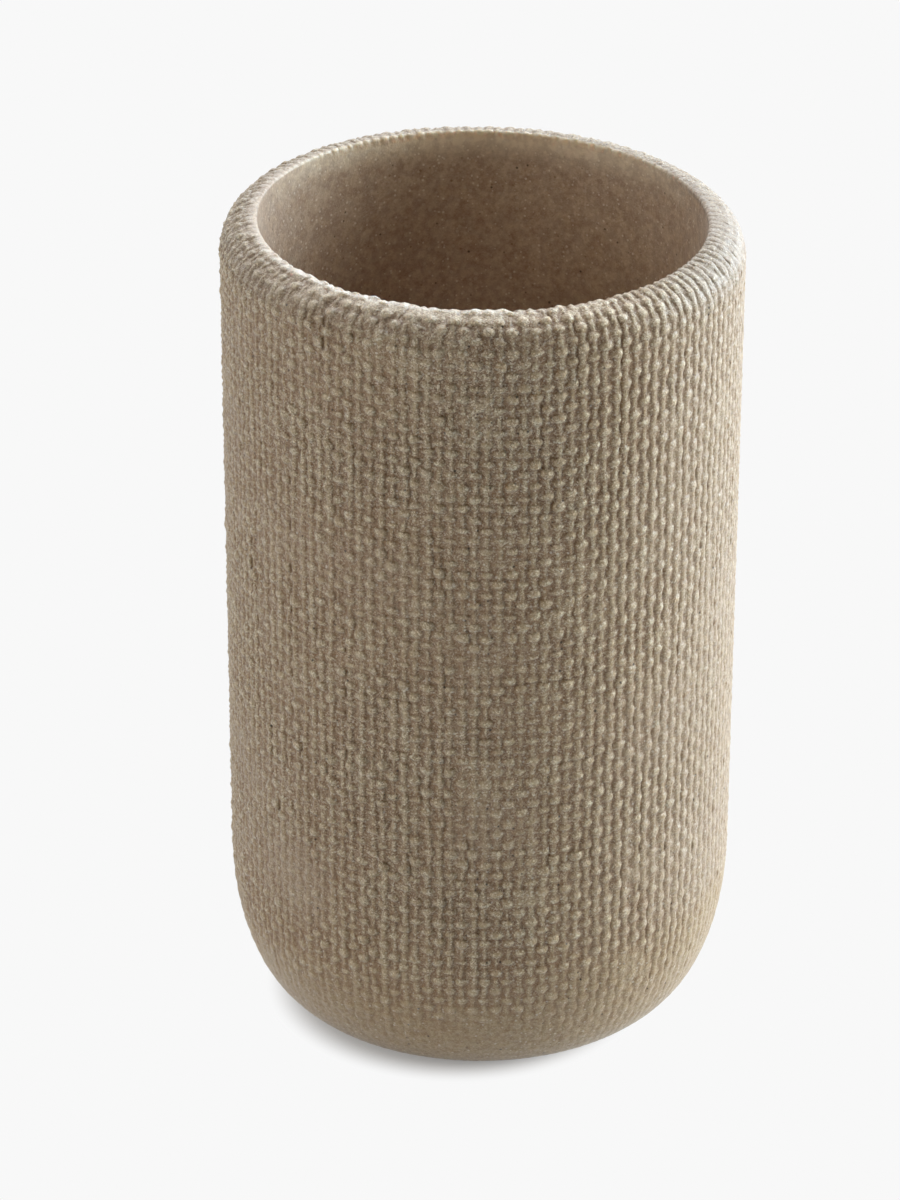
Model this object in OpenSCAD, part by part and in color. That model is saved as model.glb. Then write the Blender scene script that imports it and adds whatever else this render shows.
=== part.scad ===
// Bathroom tumbler: a thick-walled cup cast in stone-filled resin, standing on a soft pad.
// The origin is the middle of the surface that it stands on, and +Z runs up the bore.

/* [Cup] */
// Outside diameter of the straight wall
cup_d = 70; // [60:1:90]
// Height from the standing surface to the top of the rim
cup_h = 116; // [90:1:140]
// Wall thickness at the rim
rim_wall = 5.1; // [3.5:0.1:8]
// Height over which the outer side of the rim is rounded
rim_round_h = 4.6; // [2:0.1:10]
// Radius of the crisp inner edge of the rim
edge_r = 0.5; // [0.2:0.1:1]

/* [Lower corner] */
// How far the wall draws in from the straight side to the foot
corner_w = 9.0; // [5:0.1:14]
// Height over which the wall draws in
corner_h = 21.8; // [12:0.1:36]

/* [Bore] */
// How much the bore's radius narrows from its mouth to its lower corner
bore_draft = 1.4; // [0:0.1:3]
// Thickness of the floor above the foot
floor_t = 7; // [5:0.5:12]
// How far the bore draws in to its flat floor
bore_corner_w = 8; // [3:0.5:14]
// Height over which the bore draws in
bore_corner_h = 17; // [6:0.5:30]

/* [Foot] */
// Width of the flat ring round the recess
foot_ring_w = 4; // [2:0.5:6]
// Chamfer on the lip of the recess
lip_chamfer = 0.3; // [0.1:0.1:0.8]

/* [Pad] */
// Thickness of the pad
pad_t = 1.2; // [1:0.1:3]
// How far the pad stands proud of the foot ring
pad_proud = 0.5; // [0.2:0.1:0.8]
// Gap between the edge of the pad and the wall of the recess
pad_clearance = 0.4; // [0.2:0.1:1]
// Radius on the lower edge of the pad
pad_edge_r = 0.3; // [0.1:0.1:0.6]
// Thickness of the adhesive film that holds the pad
film_t = 0.2; // [0.1:0.05:0.4]

/* [Hidden] */
// Facets round a full turn
$fn = 180;
// Steps along each long curve of the profile
curve_steps = 24;
// Steps along each small edge radius
edge_steps = 6;

cup_r = cup_d / 2;
mouth_r = cup_r - rim_wall;
bore_r = mouth_r - bore_draft;
rim_round_w = rim_wall - edge_r;

foot_z = pad_proud;
foot_r = cup_r - corner_w;
floor_z = foot_z + floor_t;

recess_r = foot_r - foot_ring_w;
recess_z = pad_t + film_t;
pad_r = recess_r - pad_clearance;

resin_colour = [0.66, 0.60, 0.52];
foam_colour = [0.16, 0.15, 0.14];
film_colour = [0.86, 0.84, 0.78];

// Points of an upright ellipse's arc round [x, z], from angle a to angle b
function arc(x, z, w, h, a, b, steps = curve_steps) =
    [for (i = [0 : steps])
        let (t = a + (b - a) * i / steps)
        [x + w * cos(t), z + h * sin(t)]];

// The cup in one pour: recess, foot ring, drawn-in corner, wall, rim, drafted bore and floor
module tumbler_body() {
    profile = concat(
        [[0, recess_z],
         [recess_r, recess_z],
         [recess_r, foot_z + lip_chamfer],
         [recess_r + lip_chamfer, foot_z]],
        arc(foot_r, foot_z + corner_h, corner_w, corner_h, -90, 0),
        arc(mouth_r + edge_r, cup_h - rim_round_h, rim_round_w, rim_round_h, 0, 90),
        arc(mouth_r + edge_r, cup_h - edge_r, edge_r, edge_r, 90, 180, edge_steps),
        arc(bore_r - bore_corner_w, floor_z + bore_corner_h, bore_corner_w, bore_corner_h, 0, -90),
        [[0, floor_z]]);
    color(resin_colour)
        rotate_extrude()
            polygon(profile);
}

// Soft pad, a die-cut disc with its lower edge eased
module base_pad() {
    profile = concat(
        [[0, 0]],
        arc(pad_r - pad_edge_r, pad_edge_r, pad_edge_r, pad_edge_r, -90, 0, edge_steps),
        [[pad_r, pad_t],
         [0, pad_t]]);
    color(foam_colour)
        rotate_extrude()
            polygon(profile);
}

// Adhesive film, cut with the pad, between the pad and the roof of the recess
module pad_adhesive() {
    color(film_colour)
        translate([0, 0, pad_t])
            cylinder(r = pad_r, h = film_t);
}

tumbler_body();
base_pad();
pad_adhesive();
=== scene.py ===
import math

import bpy
import numpy as np
from mathutils import Matrix, Vector


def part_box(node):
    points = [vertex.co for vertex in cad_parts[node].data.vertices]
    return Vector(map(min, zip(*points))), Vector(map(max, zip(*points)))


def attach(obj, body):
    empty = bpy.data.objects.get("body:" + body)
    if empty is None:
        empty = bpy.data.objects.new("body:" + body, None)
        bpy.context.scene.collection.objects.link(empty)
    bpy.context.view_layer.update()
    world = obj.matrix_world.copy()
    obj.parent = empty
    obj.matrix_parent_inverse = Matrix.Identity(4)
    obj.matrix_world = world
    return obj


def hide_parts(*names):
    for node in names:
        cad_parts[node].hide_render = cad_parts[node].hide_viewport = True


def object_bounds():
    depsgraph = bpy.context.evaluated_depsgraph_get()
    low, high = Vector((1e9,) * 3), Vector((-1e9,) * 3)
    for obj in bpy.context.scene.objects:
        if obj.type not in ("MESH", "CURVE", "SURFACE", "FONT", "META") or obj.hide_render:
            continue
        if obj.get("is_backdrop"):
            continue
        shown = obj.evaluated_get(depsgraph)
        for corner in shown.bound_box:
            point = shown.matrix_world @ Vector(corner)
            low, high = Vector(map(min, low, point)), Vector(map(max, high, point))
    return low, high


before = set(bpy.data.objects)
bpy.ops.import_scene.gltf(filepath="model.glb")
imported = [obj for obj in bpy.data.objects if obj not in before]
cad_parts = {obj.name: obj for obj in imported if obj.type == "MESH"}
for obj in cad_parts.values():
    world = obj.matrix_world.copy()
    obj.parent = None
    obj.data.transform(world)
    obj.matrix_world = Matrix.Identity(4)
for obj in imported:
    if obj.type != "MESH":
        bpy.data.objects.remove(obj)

cad_low, cad_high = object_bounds()


# The cup: one pour of sand-filled resin between a soft outer mould and a polished core, so it is a
# single thick shell. Its profile is turned all round: a shallow recess and a flat ring under the
# foot, a tall drawn-in corner, a straight wall, a rolled rim with a crisp inner edge, and the bore.
body_low, body_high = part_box("tumbler_body")
wall_r, rim_z, foot_z = body_high.x, body_high.z, body_low.z
rim_wall, rim_round_h, edge_r = 0.0051, 0.0046, 0.0005
corner_w, corner_h = 0.009, 0.0218
bore_draft, floor_t = 0.0014, 0.007
bore_corner_w, bore_corner_h = 0.008, 0.017
foot_ring_w, lip_chamfer = 0.004, 0.0003
mouth_r = wall_r - rim_wall
foot_r = wall_r - corner_w
bore_r = mouth_r - bore_draft
floor_z = foot_z + floor_t
recess_r = foot_r - foot_ring_w
recess_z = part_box("pad_adhesive")[1].z

# The cloth that the outer mould was taken from, counted in yarns round and rows up. Each yarn gets
# three columns of points and each row three rings, and the rows that hardly show get two.
yarns_round = 140
row_pitch = 0.0015625
bare_foot = 0.0055
plain_rows = 10
column_places = np.array([0.14, 0.5, 0.86])
columns_per_yarn = len(column_places)
row_places = (0.16, 0.5, 0.84)
plain_row_places = (0.25, 0.75)
edge_places = (0.05, 0.4, 0.7, 1)
foot_rings = 4
corner_steps, rim_steps, edge_steps, bowl_steps = 400, 200, 40, 12


def arc(centre_r, centre_z, reach_r, reach_z, start, end, steps):
    """Points (r, z) on an upright ellipse, from the angle start to the angle end in degrees."""
    turn = np.radians(np.linspace(start, end, steps))
    return np.stack([centre_r + reach_r * np.cos(turn), centre_z + reach_z * np.sin(turn)], 1)


outside = np.concatenate([
    arc(foot_r, foot_z + corner_h, corner_w, corner_h, -90, 0, corner_steps),
    arc(mouth_r + edge_r, rim_z - rim_round_h, rim_wall - edge_r, rim_round_h, 0, 90, rim_steps),
    arc(mouth_r + edge_r, rim_z - edge_r, edge_r, edge_r, 90, 180, edge_steps)[1:],
])
along = np.concatenate([[0], np.cumsum(np.hypot(*np.diff(outside, axis=0).T))])
slope = np.gradient(outside, along, axis=0)
outwards = np.stack([slope[:, 1], -slope[:, 0]], 1) / np.hypot(*slope.T)[:, None]
edge_length = math.pi / 2 * edge_r
edge_start = along[-1] - edge_length
woven_rows = int((edge_start - bare_foot) / row_pitch)
first_row = edge_start - woven_rows * row_pitch

rings = list(np.linspace(-first_row / row_pitch, 0, foot_rings + 1)[:-1])
for row in range(woven_rows):
    rings += [row + place for place in (plain_row_places if row < plain_rows else row_places)]
rings = np.array(rings + [woven_rows + edge_length / row_pitch * place for place in edge_places])
ring_s = first_row + rings * row_pitch
skin = np.stack([np.interp(ring_s, along, outside[:, 0]), np.interp(ring_s, along, outside[:, 1])], 1)

roof_share, floor_share = 0.6, 0.5
mouth_ease, mouth_drop = 0.00001, 0.0007
underside = np.array([(0, recess_z), (roof_share * recess_r, recess_z), (recess_r, recess_z),
                      (recess_r, foot_z + lip_chamfer), (recess_r + lip_chamfer, foot_z)])
inside = np.concatenate([
    [(mouth_r - mouth_ease, rim_z - edge_r - mouth_drop)],
    arc(bore_r - bore_corner_w, floor_z + bore_corner_h, bore_corner_w, bore_corner_h, 0, -90, bowl_steps),
    [(floor_share * (bore_r - bore_corner_w), floor_z), (0, floor_z)],
])


def turned(profile, facets, name):
    """A solid of revolution: the profile is drawn out point by point and turned about the Z axis."""
    first_point_size, weld_gap = 0.001, 1e-6
    bpy.ops.object.select_all(action="DESELECT")
    bpy.ops.mesh.primitive_plane_add(size=first_point_size)
    piece = bpy.context.object
    piece.name = name
    bpy.ops.object.mode_set(mode="EDIT")
    bpy.ops.mesh.merge(type="CENTER")
    bpy.ops.transform.translate(value=(profile[0][0], 0, profile[0][1]))
    for (from_r, from_z), (to_r, to_z) in zip(profile, profile[1:]):
        step = (to_r - from_r, 0, to_z - from_z)
        bpy.ops.mesh.extrude_region_move(TRANSFORM_OT_translate={"value": step})
    bpy.ops.object.mode_set(mode="OBJECT")
    turn = piece.modifiers.new("turn", "SCREW")
    turn.angle = 2 * math.pi
    turn.steps = turn.render_steps = facets
    turn.use_merge_vertices = True
    turn.merge_threshold = weld_gap
    bpy.ops.object.modifier_apply(modifier="turn")
    bpy.ops.object.mode_set(mode="EDIT")
    bpy.ops.mesh.select_all(action="SELECT")
    bpy.ops.mesh.remove_doubles(threshold=weld_gap)
    bpy.ops.mesh.normals_make_consistent(inside=False)
    bpy.ops.mesh.select_all(action="DESELECT")
    bpy.ops.object.mode_set(mode="OBJECT")
    return piece


profile = np.concatenate([underside, skin, inside])
cup = turned(profile.tolist(), yarns_round * columns_per_yarn, "cup")

# The weave pressed into the skin: upright yarns run up the wall and over the rim, and level yarns
# cross over every other one. Heights are shares of the relief, and widths are shares of a yarn.
relief_depth = 0.00066
crown_proud = 0.00012
upright_width, upright_spread = 0.25, 0.25
upright_height, upright_bend, upright_rim_gain = 0.55, 0.17, 0.17
level_width, level_waist, level_swell = 0.37, 0.75, 0.30
level_height, level_bend, level_flat, level_rim_loss = 0.54, 0.60, 0.20, 0.12
flank_near, flank_far = 0.35, 0.65
blend_power = 6


def cloth_height(u, v, upright_body, level_body, filled, on_rim, floor, cos):
    """How high the cloth stands at a place counted in yarns: 1 on the highest crowns, 0 in the pits."""
    yarn, row = floor(u), floor(v)
    upright_over = cos((v - 0.5 + yarn) * math.pi)
    level_over = -1 * cos((u - 0.5 + row) * math.pi)
    off_yarn = (u - yarn - 0.5) * (1 / upright_width) / (upright_body + upright_spread * on_rim)
    off_row = (v - row - 0.5) * (1 / level_width) / (level_body * (level_waist + level_swell * level_over))
    off_yarn, off_row = off_yarn * off_yarn, off_row * off_row
    off_yarn = off_yarn * (flank_near + flank_far * off_yarn)
    off_row = off_row * (flank_near + flank_far * off_row)
    upright = upright_height + upright_bend * upright_over + upright_rim_gain * on_rim
    upright = upright * (0.5 + 0.5 * upright_body) / (1 + off_yarn)
    level = level_height + level_over * (level_bend - level_flat * level_over * level_over)
    level = (level * (0.5 + 0.5 * level_body) - level_rim_loss * on_rim) / (1 + off_row)
    return (upright ** blend_power + level ** blend_power + filled ** blend_power) ** (1 / blend_power)


# Where each point of the cup lies: its ring of the profile, and its place on the cloth.
count = len(cup.data.vertices)
batch = 4000
at = np.empty(count * 3, np.float32)
cup.data.vertices.foreach_get("co", at)
at = at.reshape(count, 3).astype(float)
radius = np.hypot(at[:, 0], at[:, 1])
nearest = np.concatenate([np.argmin((radius[k:k + batch, None] - profile[:, 0]) ** 2
                                    + (at[k:k + batch, 2, None] - profile[:, 1]) ** 2, axis=1)
                          for k in range(0, count, batch)])
ring = nearest - len(underside)
on_skin = (ring >= 0) & (ring < len(rings)) & (radius > foot_r / 2)
column = np.rint(np.arctan2(at[:, 0], -at[:, 1]) / (2 * math.pi) * yarns_round * columns_per_yarn)
column = column.astype(int) % (yarns_round * columns_per_yarn)
u = column // columns_per_yarn + column_places[column % columns_per_yarn]
v = rings[np.clip(ring, 0, len(rings) - 1)]
s = first_row + v * row_pitch
yarn = np.floor(u).astype(int)
row = np.clip(np.floor(v).astype(int), 0, woven_rows)
chance = np.random.RandomState(seed=11)


def drift(line, place, lines, length, span, size, closed=False):
    """A slow random change along each of many yarns, read at a place along one of them."""
    knots = int(length / span) + 2
    table = chance.normal(0, size, (lines, knots))
    if closed:
        table[:, -1] = table[:, 0]
    x = np.clip(place / length, 0, 1) * (knots - 1)
    low = np.minimum(x.astype(int), knots - 2)
    t = x - low
    t = t * t * (3 - 2 * t)
    return table[line, low] * (1 - t) + table[line, low + 1] * t


def upright_drift(span, size):
    return drift(yarn, v, yarns_round, woven_rows, span, size)


def level_drift(span, size):
    return drift(row, u, woven_rows + 1, yarns_round, span, size, closed=True)


def patches(across, up, size):
    """Slow random patches all over the cloth, with so many cells round and up, and no seam."""
    table = chance.normal(0, size, (up + 2, across))
    x = u / yarns_round * across
    y = np.clip(v / woven_rows, 0, 1) * up
    left, low = np.floor(x).astype(int), np.floor(y).astype(int)
    tx, ty = x - left, y - low
    tx, ty = tx * tx * (3 - 2 * tx), ty * ty * (3 - 2 * ty)
    right = (left + 1) % across
    left = left % across
    return (table[low, left] * (1 - tx) + table[low, right] * tx) * (1 - ty) \
        + (table[low + 1, left] * (1 - tx) + table[low + 1, right] * tx) * ty


def facing(turn):
    """1 on the side of the cup that is so much of a turn round from the front, and 0 past its flanks."""
    return np.clip(np.cos((u / yarns_round - turn) * 2 * math.pi), 0, 1)


# Hand-spun yarn is thick and thin and sways. The cloth lay taut at the right of the mould and loose
# and knotted at the front left, and the cast filled it a little, most of all near the edge.
most_sway, yarn_differs, row_differs = 0.13, 0.08, 0.10
upright_sway = upright_drift(span=6, size=0.07) + upright_drift(span=2, size=0.05)
level_sway = level_drift(span=8, size=0.07) + level_drift(span=2, size=0.05)
upright_sway = np.clip(upright_sway, -most_sway, most_sway)
level_sway = np.clip(level_sway, -most_sway, most_sway)
upright_body = upright_drift(span=4, size=0.16) + chance.normal(0, yarn_differs, yarns_round)[yarn]
level_body = level_drift(span=3, size=0.17) + chance.normal(0, row_differs, woven_rows + 1)[row]
level_body += level_drift(span=1, size=0.12)
right_side, left_front, left_side, near_front, front = 0.22, -0.10, -0.27, 0.03, 0
taut, knotted = facing(right_side), facing(left_front)
taut_evens_upright, taut_fattens_upright, knots_fatten_upright = 0.4, 0.28, 0.08
taut_evens_level, taut_fattens_level, knots_thin_level = 0.5, 0.16, 0.04
upright_body = 1 + upright_body * (1 - taut_evens_upright * taut) + taut_fattens_upright * taut \
    + knots_fatten_upright * knotted ** 2 + upright_drift(span=1.2, size=0.08)
level_body = 1 + level_body * (1 - taut_evens_level * taut) + taut_fattens_level * taut \
    - knots_thin_level * knotted ** 2 + patches(yarns_round, woven_rows, size=0.25) * knotted ** 2
upright_body += patches(yarns_round, 2 * woven_rows, size=0.22) * knotted ** 2

usual_fill, least_fill, most_fill, most_edge_fill = 0.26, 0.05, 0.8, 1.0
thinnest, thickest_upright, thickest_level = 0.6, 1.7, 1.6
edge_share = 1.3
lumps_anywhere, lumps_in_knots, fill_in_knots, knots_thin_edge = 0.3, 0.9, 0.22, 0.35
filled = usual_fill + patches(across=28, up=15, size=0.07) + patches(across=70, up=38, size=0.08)
filled += patches(yarns_round, 2 * woven_rows, size=0.10)
filled = np.clip(filled, least_fill, most_fill)
near_edge = np.clip(1 - (edge_start - s) / (edge_share * rim_round_h), 0, 1)
on_rim = near_edge * (1 - knotted)
lumps = patches(3 * yarns_round // 2, 2 * woven_rows, size=0.30)
filled += near_edge * (lumps * (lumps_anywhere + lumps_in_knots * knotted) + fill_in_knots * knotted)
filled = np.clip(filled, least_fill, most_edge_fill)
level_body += patches(yarns_round, woven_rows, size=0.25) * near_edge
upright_body += patches(yarns_round, 2 * woven_rows, size=0.25) * near_edge
upright_body -= knots_thin_edge * near_edge * knotted
upright_body = np.clip(upright_body, thinnest, thickest_upright)
level_body = np.clip(level_body, thinnest, thickest_level)
height = cloth_height(u, v, upright_body, level_body, filled, on_rim, np.floor, np.cos)

# How deep the cloth was pressed: all over the wall, less on the drawn-in corner, and not at all on the
# foot or the crisp edge, where the cast was rubbed down, further on the left than on the right.
foot_press, foot_smooth_share, foot_fade_share, corner_start_share = 0.33, 0.05, 0.6, 0.2
corner_loss, corner_loss_in_knots = 0.46, 0.22
rim_loss, taut_loss, side_press, front_gain = 0.15, 0.52, 0.85, 0.27
top_start_share, top_fade_share, top_gain = 0.68, 0.15, 0.22
rubbed_least, rubbed_more, edge_kept = 0.0003, 0.0012, 0.55
least_patch, most_patch = 0.5, 1.3
rise = np.clip((s - corner_start_share * bare_foot) / corner_h, 0, 1)
press = foot_press + (1 - foot_press) * rise * rise * (3 - 2 * rise)
press *= np.clip((s - foot_smooth_share * bare_foot) / (foot_fade_share * bare_foot), 0, 1)
press *= (1 - (1 - rise) * (corner_loss + corner_loss_in_knots * knotted)) * (1 - rim_loss * on_rim)
press *= (side_press + front_gain * facing(near_front)) * (1 - taut_loss * taut * taut * (1 - near_edge))
top = np.clip((s - top_start_share * edge_start) / (top_fade_share * edge_start), 0, 1)
press *= 1 + top_gain * top * facing(front)
rubbed_side = facing(left_side) ** 2
kept = edge_kept * (1 - rubbed_side)
rubbed_length = rubbed_least + rubbed_more * rubbed_side + edge_length
press *= kept + (1 - kept) * np.clip((along[-1] - s) / rubbed_length, 0, 1)
press *= np.clip(1 + patches(across=16, up=9, size=0.12), least_patch, most_patch)
press = np.where(on_skin, press, 0)

# The rim runs a little low on the right, and more so the higher up the wall.
uneven_rim, level_below = 0.0142, 0.060
above_foot = np.clip(v, 0, 1)
place = s + level_sway * row_pitch * above_foot * np.clip((edge_start - s) / row_pitch, 0, 1)
around = u + upright_sway * above_foot * np.clip((along[-1] - s) / row_pitch, 0, 1)
angle = around * 2 * math.pi / yarns_round
raised = (crown_proud - (1 - height) * relief_depth) * press
skin_r = np.interp(place, along, outside[:, 0]) + raised * np.interp(place, along, outwards[:, 0])
skin_z = np.interp(place, along, outside[:, 1]) + raised * np.interp(place, along, outwards[:, 1])
pressed = np.stack([skin_r * np.sin(angle), -skin_r * np.cos(angle), skin_z], 1)
at[on_skin] = pressed[on_skin]
drop = np.clip((at[:, 2] - level_below) / (rim_z - level_below), 0, 1)
at[:, 2] -= uneven_rim * at[:, 0] * drop
cup.data.vertices.foreach_set("co", at.astype(np.float32).ravel())
bpy.ops.object.select_all(action="DESELECT")
cup.select_set(True)
bpy.context.view_layer.objects.active = cup
bpy.ops.object.shade_smooth()


def note(name, *parts):
    """Keeps three numbers with every point of the cup, for its resin to read."""
    numbers = cup.data.attributes.new(name, "FLOAT_VECTOR", "POINT")
    numbers.data.foreach_set("vector", np.stack(parts, 1).astype(np.float32).ravel())


note("yarns", upright_body, level_body, filled)
note("skin", press, on_rim, near_edge * knotted ** 3 * on_skin)
corners = len(cup.data.loops)
corner_point = np.empty(corners, np.int32)
cup.data.loops.foreach_get("vertex_index", corner_point)
sizes = np.empty(len(cup.data.polygons), np.int32)
cup.data.polygons.foreach_get("loop_total", sizes)
face_of = np.repeat(np.arange(len(sizes)), sizes)
corner_u = u[corner_point]
highest = np.zeros(len(sizes))
np.maximum.at(highest, face_of, corner_u)
corner_u = corner_u + yarns_round * (highest[face_of] - corner_u > yarns_round / 2)
cloth = cup.data.uv_layers.new(name="cloth")
cloth.data.foreach_set("uv", np.stack([corner_u, v[corner_point]], 1).astype(np.float32).ravel())

# The flat layout that the cup's colours are baked on: the skin and the bore as strips unrolled round
# the axis (left, right, low, high), and the roof of the recess and the bottom of the bore as discs
# (middle and reach).
strips = {"skin": (0.005, 0.995, 0.360, 0.995), "bore": (0.005, 0.695, 0.005, 0.345)}
discs = {"roof": (0.742, 0.042, 0.034), "bowl": (0.852, 0.203, 0.138)}
first_inside = len(underside) + len(rings)
first_of = {"roof": 0, "skin": 2, "bore": first_inside - 1, "bowl": first_inside + 1}
run = np.concatenate([[0], np.cumsum(np.hypot(*np.diff(profile, axis=0).T))])
corner_step = nearest[corner_point]
face_step = np.full(len(sizes), len(profile))
np.minimum.at(face_step, face_of, corner_step)
face_step = face_step[face_of]
turn_share = corner_u / (yarns_round + 1)
flat = np.zeros((corners, 2))
for name, (left, right, low, high) in strips.items():
    first = first_of[name]
    last = first_of["bore" if name == "skin" else "bowl"]
    here = (face_step >= first) & (face_step < last)
    up = (run[corner_step[here]] - run[first]) / (run[last] - run[first])
    flat[here] = np.stack([left + (right - left) * turn_share[here], low + (high - low) * up], 1)
for name, (centre_x, centre_y, reach) in discs.items():
    rim, middle = (first_of["bowl"], len(profile) - 1) if name == "bowl" else (first_of["skin"], 0)
    here = (face_step >= min(rim, middle)) & (face_step < max(rim, middle))
    out = reach * (run[corner_step[here]] - run[middle]) / (run[rim] - run[middle])
    around = corner_u[here] / yarns_round * 2 * math.pi
    flat[here] = np.stack([centre_x + out * np.cos(around), centre_y + out * np.sin(around)], 1)
bake = cup.data.uv_layers.new(name="OFBake")
bake.data.foreach_set("uv", flat.astype(np.float32).ravel())


class Socket:
    """A value in a material, so that its maths reads as an expression."""

    def __init__(self, tree, link):
        self.tree = tree
        self.link = link

    def node(self, kind, out=0, settings=None, inputs=None):
        """Adds any node: its settings first, then the values or links of its sockets."""
        made = self.tree.nodes.new(kind)
        for name, value in (settings or {}).items():
            setattr(made, name, value)
        for key, value in (inputs or {}).items():
            if isinstance(value, Socket):
                self.tree.links.new(value.link, made.inputs[key])
            else:
                made.inputs[key].default_value = value
        return Socket(self.tree, made.outputs[out])

    def maths(self, operation, *values):
        return self.node("ShaderNodeMath", 0, {"operation": operation}, dict(enumerate(values)))

    def __add__(self, other):
        return self.maths("ADD", self, other)

    def __radd__(self, other):
        return self.maths("ADD", other, self)

    def __sub__(self, other):
        return self.maths("SUBTRACT", self, other)

    def __rsub__(self, other):
        return self.maths("SUBTRACT", other, self)

    def __mul__(self, other):
        return self.maths("MULTIPLY", self, other)

    def __rmul__(self, other):
        return self.maths("MULTIPLY", other, self)

    def __truediv__(self, other):
        return self.maths("DIVIDE", self, other)

    def __pow__(self, other):
        return self.maths("POWER", self, other)

    def floor(self):
        return self.maths("FLOOR", self)

    def cos(self):
        return self.maths("COSINE", self)

    def between(self, low, high, to_low=0.0, to_high=1.0):
        """A smooth step from to_low, below low, up to to_high, above high."""
        return self.node("ShaderNodeMapRange", 0, {"interpolation_type": "SMOOTHSTEP"},
                         {0: self, 1: low, 2: high, 3: to_low, 4: to_high})

    def mix(self, first, second):
        """From one colour to the other, by this value."""
        return self.node("ShaderNodeMix", 2, {"data_type": "RGBA"}, {0: self, 6: first, 7: second})

    def parts(self):
        """The three parts of a vector."""
        split = self.node("ShaderNodeSeparateXYZ", 0, None, {0: self})
        return [Socket(self.tree, output) for output in split.link.node.outputs]

    def length(self):
        return self.node("ShaderNodeVectorMath", 1, {"operation": "LENGTH"}, {0: self})

    def noise(self, scale, detail, rough, low, high):
        """Cloudy noise, 0 below low and 1 above high."""
        cloudy = self.node("ShaderNodeTexNoise", 0, None,
                           {"Vector": self, "Scale": scale, "Detail": detail, "Roughness": rough})
        return cloudy.between(low, high)

    def cells(self, scale, out):
        """Round cells: out 0 is how far it is to the middle of one, and out 1 a colour of its own."""
        return self.node("ShaderNodeTexVoronoi", out, None, {"Vector": self, "Scale": scale})

    def grains(self, scale, share, low, high):
        """Scattered round grains: such a share of the cells holds one, and their sizes differ."""
        blur, pick_blur = 0.06, 0.001
        pick, size, _ = self.cells(scale, 1).parts()
        edge = size.between(0, 1, low, high)
        grain = (self.cells(scale, 0) - edge).between(-blur, blur, 1, 0)
        return grain * pick.between(1 - share, 1 - share + pick_blur)


def new_material(name):
    """A material with its tree, its shader, and the place on the object that its pattern reads."""
    material = bpy.data.materials.new(name)
    material.use_nodes = True
    tree = material.node_tree
    where = Socket(tree, None).node("ShaderNodeTexCoord", "Object")
    return material, tree, tree.nodes["Principled BSDF"], where


# The resin, the same through and through: a warm taupe binder full of pale sand, with faint clouds
# of grey and tan, a few brown and black grains, and darker hollows, thick binder plus painted shade.
warm_binder, grey_binder = (0.49, 0.32, 0.152, 1), (0.47, 0.322, 0.170, 1)
tan_blotch = (0.55, 0.40, 0.206, 1)
yellow_tinge, brown_tinge = (0.51, 0.41, 0.225, 1), (0.40, 0.255, 0.135, 1)
pale_mottle, dark_mottle = (0.64, 0.50, 0.310, 1), (0.31, 0.165, 0.063, 1)
thick_binder_and_pit_shade, thin_binder_and_crown_highlight = (0.31, 0.155, 0.053, 1), (0.69, 0.548, 0.340, 1)
# The grey here is a painted shade for the top of the rim.
rubbed_cream, rim_shade_grey = (0.93, 0.82, 0.66, 1), (0.325, 0.280, 0.212, 1)
polished_taupe = (0.57, 0.435, 0.395, 1)
polished_pale, polished_dark = (0.66, 0.54, 0.43, 1), (0.25, 0.160, 0.115, 1)
pale_sand, dark_sand = (0.66, 0.56, 0.42, 1), (0.235, 0.14, 0.073, 1)
pale_grain_and_glint, dark_grain_and_pit_shade = (0.88, 0.78, 0.60, 1), (0.165, 0.085, 0.045, 1)
brown_stone, black_stone = (0.20, 0.11, 0.055, 1), (0.045, 0.028, 0.017, 1)
white_stone, cream_stone = (0.86, 0.80, 0.69, 1), (0.74, 0.65, 0.53, 1)
# The tan at the mouth is a painted glow of light coming through the wall.
mouth_glow_tan, lip_cream = (0.88, 0.77, 0.59, 1), (0.93, 0.88, 0.80, 1)
grain_scale = 5000

# Spans over which a part of the pattern comes in, as shares of the relief or as places on the cup.
hollow_span, crown_span = (0.20, 0.70), (0.45, 0.98)
foot_lean, foot_span = 0.5, (0.0235, 0.0260)
worn_span, worn_least = (0.0, 0.040), 0.35
# Where the painted shade on the rim's top lies: depth below the rim, skin, back, and its gain to the right.
rim_shade_depth, rim_shade_press, rim_shade_back = (0.0010, 0.0060), (0.0, 0.25), (-0.034, -0.012)
rim_shade_left, rim_shade_gain, rim_shade_right = 0.74, 0.24, (0, 0.034)
mouth_depth, mouth_ring, mouth_back = (0.0006, 0.0050), (mouth_r + 0.0001, mouth_r + 0.0005), (0.004, 0.030)
lip_ring = (mouth_r + 0.0006, mouth_r + 0.0020)
pale_tone, dark_tone = (0.6, 1.0), (0.4, 0.0)
woven_span, polished_rough, woven_rough, sand_gloss = 0.25, 0.40, 0.50, 0.12
polished_grain, polished_mottle = 0.22, 0.3
grain_swell, sand_swell, mottle_swell, weave_swell_share = 0.00005, 0.00005, 0.00004, 0.8

resin, tree, shader, where = new_material("sand_filled_resin")
cloth_u, cloth_v, _ = where.node("ShaderNodeUVMap", 0, {"uv_map": "cloth"}).parts()
bodies = where.node("ShaderNodeAttribute", 1, {"attribute_name": "yarns"}).parts()
pressing, near_rim, rubbed = where.node("ShaderNodeAttribute", 1, {"attribute_name": "skin"}).parts()
weave = cloth_height(cloth_u, cloth_v, *bodies, near_rim, Socket.floor, Socket.cos)
across, backwards, height_up = where.parts()
below_rim = rim_z - (height_up + across * uneven_rim)
off_axis = where.node("ShaderNodeVectorMath", 0, {"operation": "MULTIPLY"}, {0: where, 1: (1, 1, 0)}).length()

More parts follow.
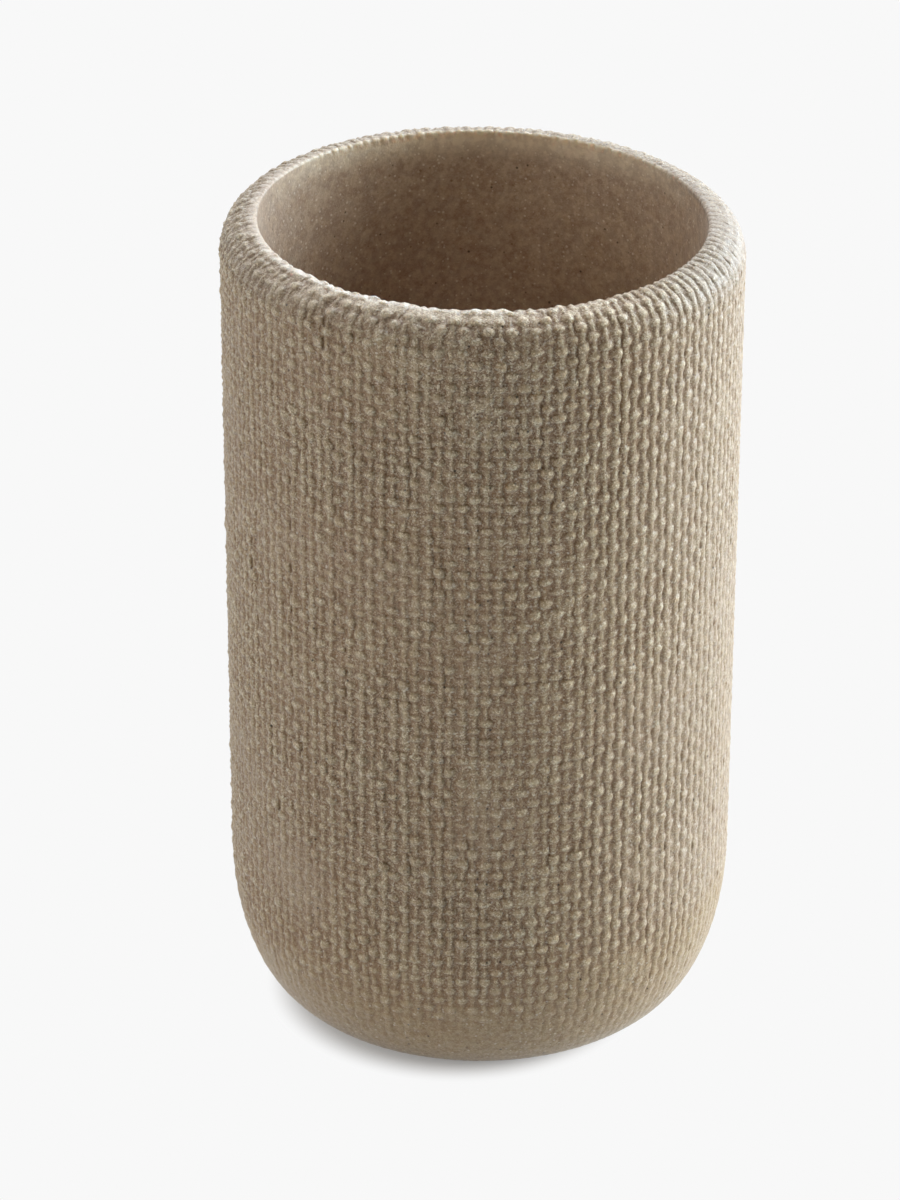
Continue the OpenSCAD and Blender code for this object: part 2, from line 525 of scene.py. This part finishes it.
clouds = where.noise(scale=60, detail=3.0, rough=0.55, low=0.35, high=0.65)
blotches = where.noise(scale=420, detail=3.0, rough=0.6, low=0.35, high=0.65)
tinge = where.noise(scale=820, detail=2.0, rough=0.5, low=0.35, high=0.65)
mottle = where.noise(scale=1500, detail=3.0, rough=0.6, low=0.30, high=0.70)
sand = where.noise(scale=3600, detail=2.0, rough=0.6, low=0.30, high=0.70)
grain_dome = where.cells(grain_scale, 0)
grain_tone, _, _ = where.cells(grain_scale, 1).parts()
# hollow and crown mark where painted shade and painted highlight go on the weave.
hollow = ((1 - weave) * pressing).between(*hollow_span)
crown = (weave * pressing).between(*crown_span)
on_foot = (off_axis - height_up * foot_lean).between(*foot_span)
polished = (1 - pressing) * (1 - on_foot)
worn_foot = height_up.between(*worn_span, worn_least, 1)
grainy = pressing * worn_foot
bare = (polished_grain + pressing * (1 - polished_grain)) * worn_foot

# Painted shade greys the rim's top at the sides and back, and hands have rubbed its front left and
# its lip pale. The bore's mouth is painted paler at the back, a painted glow of light through the wall.
# Painted shade on the rim's outer top, at the sides and back, more on the right.
painted_rim_shade = below_rim.between(*rim_shade_depth, 1, 0) * pressing.between(*rim_shade_press) \
    * backwards.between(*rim_shade_back) * (1 - rubbed)
painted_rim_shade = painted_rim_shade * (rim_shade_left + across.between(*rim_shade_right) * rim_shade_gain)
# A painted glow: the bore just under the mouth is lighter at the back, where light comes through the wall.
mouth_glow = below_rim.between(*mouth_depth, 1, 0) * off_axis.between(*mouth_ring, 1, 0)
mouth_glow = mouth_glow * backwards.between(*mouth_back)
lip = rubbed * off_axis.between(*lip_ring, 1, 0)
colour = clouds.mix(warm_binder, grey_binder)
for share, paint in (
    (blotches * 0.50, tan_blotch),
    (tinge * 0.40, yellow_tinge),
    ((1 - tinge) * 0.40, brown_tinge),
    (mottle * (0.60 - pressing * 0.25), pale_mottle),
    ((1 - mottle) * (0.60 - pressing * 0.25), dark_mottle),
    # Painted shade darkens the pits of the weave, on top of the thick binder there, and painted highlight
    # lightens its crowns, on top of the thin binder there.
    (hollow * 0.85, thick_binder_and_pit_shade),
    (crown * 0.65, thin_binder_and_crown_highlight),
    (rubbed * (0.46 + crown * 0.52), rubbed_cream),
    # painted shade on the rim's top
    (painted_rim_shade, rim_shade_grey),
    (polished * 0.36, polished_taupe),
    (polished * blotches * 0.30, polished_pale),
    (polished * (1 - tinge) * 0.40, polished_dark),
    (sand * (0.12 + grainy * 0.26 + rubbed * 0.15), pale_sand),
    ((1 - sand) * (0.12 + grainy * 0.26 + rubbed * 0.15), dark_sand),
    # Pale grains gather on the crowns as painted glints, and dark grains gather in the pits as painted shade,
    # besides the sand's own grains everywhere.
    (grain_tone.between(*pale_tone) * (0.12 + grainy * 0.28 + crown * 0.45), pale_grain_and_glint),
    (grain_tone.between(*dark_tone, 0, 1) * (0.10 + grainy * 0.16 + hollow * 0.25), dark_grain_and_pit_shade),
    (where.grains(scale=700, share=0.20, low=0.07, high=0.14) * 0.7, brown_stone),
    (where.grains(scale=640, share=0.40, low=0.05, high=0.11) * 0.90, black_stone),
    (where.grains(scale=1500, share=0.50, low=0.10, high=0.27) * (0.55 - pressing * 0.05), white_stone),
    (where.grains(scale=1250, share=0.50, low=0.16, high=0.34) * polished * 0.30, cream_stone),
    # painted glow of light through the wall
    (mouth_glow * (0.65 + tinge * 0.30), mouth_glow_tan),
    (lip * (0.40 + crown * 0.5), lip_cream),
):
    colour = share.mix(colour, paint)
tree.links.new(colour.link, shader.inputs["Base Color"])
roughness = pressing.between(0, woven_span, polished_rough, woven_rough) - sand * sand_gloss
tree.links.new(roughness.link, shader.inputs["Roughness"])
swelling = weave * pressing * worn_foot * (weave_swell_share * relief_depth) + sand * bare * sand_swell \
    + mottle * (bare + polished * polished_mottle) * mottle_swell - grain_dome * bare * grain_swell
bumps = where.node("ShaderNodeBump", 0, None, {"Strength": 1.0, "Distance": 1.0, "Height": swelling})
tree.links.new(bumps.link, shader.inputs["Normal"])
shader.inputs["Specular IOR Level"].default_value = 0.5
shader.inputs["Sheen Weight"].default_value = 0.16
shader.inputs["Sheen Roughness"].default_value = 0.45
shader.inputs["Subsurface Weight"].default_value = 0.5
shader.inputs["Subsurface Radius"].default_value = (1.0, 0.8, 0.6)
shader.inputs["Subsurface Scale"].default_value = 0.0012
cup.data.materials.clear()
cup.data.materials.append(resin)
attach(cup, "root")
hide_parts("tumbler_body")


# The pad: a disc of soft black foam, die-cut from sheet, with its lower edge eased by the cut. It is
# pressed into the recess on its film and stands a little proud, so that the cup rests on it.
pad_low, pad_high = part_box("base_pad")
pad_r, pad_edge, pad_top_edge = pad_high.x, 0.0003, 0.00005
pad_facets, pad_edge_steps, smooth_angle = 140, 5, math.radians(30)
pad_profile = np.concatenate([
    [(0, pad_low.z), (floor_share * pad_r, pad_low.z)],
    arc(pad_r - pad_edge, pad_low.z + pad_edge, pad_edge, pad_edge, -90, 0, pad_edge_steps),
    [(pad_r, pad_high.z - pad_top_edge), (pad_r - pad_top_edge, pad_high.z), (0, pad_high.z)],
])
pad = turned(pad_profile.tolist(), pad_facets, "pad")
bpy.ops.object.select_all(action="DESELECT")
pad.select_set(True)
bpy.context.view_layer.objects.active = pad
bpy.ops.object.shade_smooth_by_angle(angle=smooth_angle)
foam_dark, foam_pale, lint_grey = (0.022, 0.021, 0.020, 1), (0.045, 0.043, 0.040, 1), (0.10, 0.09, 0.075, 1)
pore_depth, pore_share, lint_share, foam_rough, lint_rough = 0.00004, 0.6, 0.25, 0.72, 0.9
foam, tree, shader, where = new_material("black_foam")
pores = where.noise(scale=1800, detail=2.0, rough=0.6, low=0.35, high=0.7)
lint = where.noise(scale=160, detail=3.0, rough=0.6, low=0.45, high=0.75)
colour = (lint * lint_share).mix((pores * pore_share).mix(foam_dark, foam_pale), lint_grey)
tree.links.new(colour.link, shader.inputs["Base Color"])
tree.links.new(lint.between(0, 1, foam_rough, lint_rough).link, shader.inputs["Roughness"])
bumps = where.node("ShaderNodeBump", 0, None, {"Strength": 1.0, "Distance": pore_depth, "Height": pores})
tree.links.new(bumps.link, shader.inputs["Normal"])
pad.data.materials.clear()
pad.data.materials.append(foam)
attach(pad, "root")
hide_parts("base_pad")


# The adhesive: a film of clear acrylic, cut with the pad and left between it and the roof of the
# recess. Only its edge shows, in the gap round the pad.
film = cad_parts["pad_adhesive"]
film_amber, film_pale = (0.62, 0.57, 0.44, 1), (0.74, 0.70, 0.58, 1)
film_rough, streak_rough = 0.3, 0.45
acrylic, tree, shader, where = new_material("clear_acrylic_film")
streaks = where.noise(scale=300, detail=2.0, rough=0.5, low=0.3, high=0.7)
tree.links.new(streaks.mix(film_amber, film_pale).link, shader.inputs["Base Color"])
tree.links.new(streaks.between(0, 1, film_rough, streak_rough).link, shader.inputs["Roughness"])
film.data.materials.clear()
film.data.materials.append(acrylic)


# The stage: a sheet of white paper that keeps the shadow at the foot of the cup, in a white room.
# The sheet fades into the white of the room past the shadow, and lies a hair below the pad.
paper_white, paper_shade = (0.939, 0.939, 0.939, 1), (0.72, 0.72, 0.72, 1)
paper_rough, paper_gloss = 0.9, 0.1
fade_start, fade_end, fade_least = 0.0215, 0.0275, 0.25
shadow_middle = (-0.003, -0.0045, 0)
sheet_size, sheet_drop = 3, 0.00005


def seen_directly(tree):
    """1 for the rays that look straight at the white of the room or mirror it, and 0 for its light."""
    camera_ray = Socket(tree, None).node("ShaderNodeLightPath", "Is Camera Ray")
    rays = camera_ray.link.node.outputs
    mirrored = camera_ray.maths("MAXIMUM", camera_ray, Socket(tree, rays["Is Glossy Ray"]))
    return mirrored.maths("MAXIMUM", mirrored, Socket(tree, rays["Is Transmission Ray"]))


bpy.ops.object.select_all(action="DESELECT")
bpy.ops.mesh.primitive_plane_add(size=sheet_size, location=(0, 0, -sheet_drop))
floor = bpy.context.object
floor.name = "floor"
paper, tree, shader, where = new_material("paper")
shader.inputs["Base Color"].default_value = paper_shade
shader.inputs["Roughness"].default_value = paper_rough
shader.inputs["Specular IOR Level"].default_value = paper_gloss
off_middle = where.node("ShaderNodeVectorMath", 0, {"operation": "SUBTRACT"}, {0: where, 1: shadow_middle})
off_middle = off_middle.length()
glow = where.node("ShaderNodeEmission", 0, None, {"Color": paper_white})
blend = where.node("ShaderNodeMixShader", 0, None,
                   {0: seen_directly(tree) * off_middle.between(fade_start, fade_end, fade_least, 1),
                    1: Socket(tree, shader.outputs["BSDF"]), 2: glow})
tree.links.new(blend.link, tree.nodes["Material Output"].inputs["Surface"])
floor.data.materials.append(paper)
floor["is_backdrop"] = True

room_light = 0.02
world = bpy.data.worlds.new("studio")
bpy.context.scene.world = world
world.use_nodes = True
tree = world.node_tree
room = tree.nodes["Background"]
room.inputs["Color"].default_value = (1.0, 1.0, 1.0, 1)
room.inputs["Strength"].default_value = room_light
seen = seen_directly(tree)
white = seen.node("ShaderNodeBackground", 0, None, {"Color": paper_white, "Strength": 1.0})
blend = seen.node("ShaderNodeMixShader", 0, None,
                  {0: seen, 1: Socket(tree, room.outputs["Background"]), 2: white})
tree.links.new(blend.link, tree.nodes["World Output"].inputs["Surface"])


def soft_box(name, azimuth, elevation, size, power, tint):
    """A soft box aimed at the middle of the cup. Azimuth 0 is the camera's side, and 90 is +X."""
    distance = 0.9
    a, e = math.radians(azimuth), math.radians(elevation)
    way = Vector((math.sin(a) * math.cos(e), -math.cos(a) * math.cos(e), math.sin(e)))
    light = bpy.data.lights.new(name, "AREA")
    light.shape = "RECTANGLE"
    light.size, light.size_y = size
    light.energy = power
    light.color = tint
    box = bpy.data.objects.new(name, light)
    box.location = Vector((0, 0, rim_z / 2)) + way * distance
    box.rotation_euler = (-way).to_track_quat("-Z", "Y").to_euler()
    bpy.context.scene.collection.objects.link(box)


soft_box("near_window", azimuth=97, elevation=17, size=(0.45, 0.55), power=6.2, tint=(0.955, 1.0, 0.96))
soft_box("far_window", azimuth=122, elevation=17, size=(0.45, 0.55), power=6.6, tint=(0.79, 1.0, 1.24))
soft_box("back", azimuth=172, elevation=60, size=(0.6, 0.5), power=7.3, tint=(0.95, 1.0, 1.08))
soft_box("left_wall", azimuth=-84, elevation=18, size=(1.1, 0.5), power=2.5, tint=(0.93, 1.0, 1.11))
soft_box("warm_room", azimuth=-50, elevation=25, size=(0.9, 0.45), power=1.0, tint=(1.15, 1.0, 0.70))


# The camera stands where the photograph was taken from: close by, on a long lens, looking down a
# little, with the cup right of the middle of the frame.
view_elevation, view_roll, view_distance = math.radians(27.70), math.radians(0.313), 0.674
lens_pixels, frame_height = 4881.9, 1200
aside_pixels, lowered_pixels = 30.8, 2.7
sensor, nearest_seen, furthest_seen = 36.0, 0.01, 10
camera = bpy.data.objects.new("camera", bpy.data.cameras.new("camera"))
camera.data.sensor_width = sensor
camera.data.lens = lens_pixels / frame_height * sensor
camera.data.shift_x = -aside_pixels / frame_height
camera.data.shift_y = lowered_pixels / frame_height
camera.data.clip_start, camera.data.clip_end = nearest_seen, furthest_seen
forwards = Vector((0, math.cos(view_elevation), -math.sin(view_elevation)))
camera.location = Vector((0, 0, (cad_low.z + cad_high.z) / 2)) - forwards * view_distance
aim = forwards.to_track_quat("-Z", "Y").to_matrix() @ Matrix.Rotation(view_roll, 3, "Z")
camera.rotation_euler = aim.to_euler()
bpy.context.scene.collection.objects.link(camera)
bpy.context.scene.camera = camera
bpy.context.scene.view_settings.view_transform = "Standard"

low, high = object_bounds()
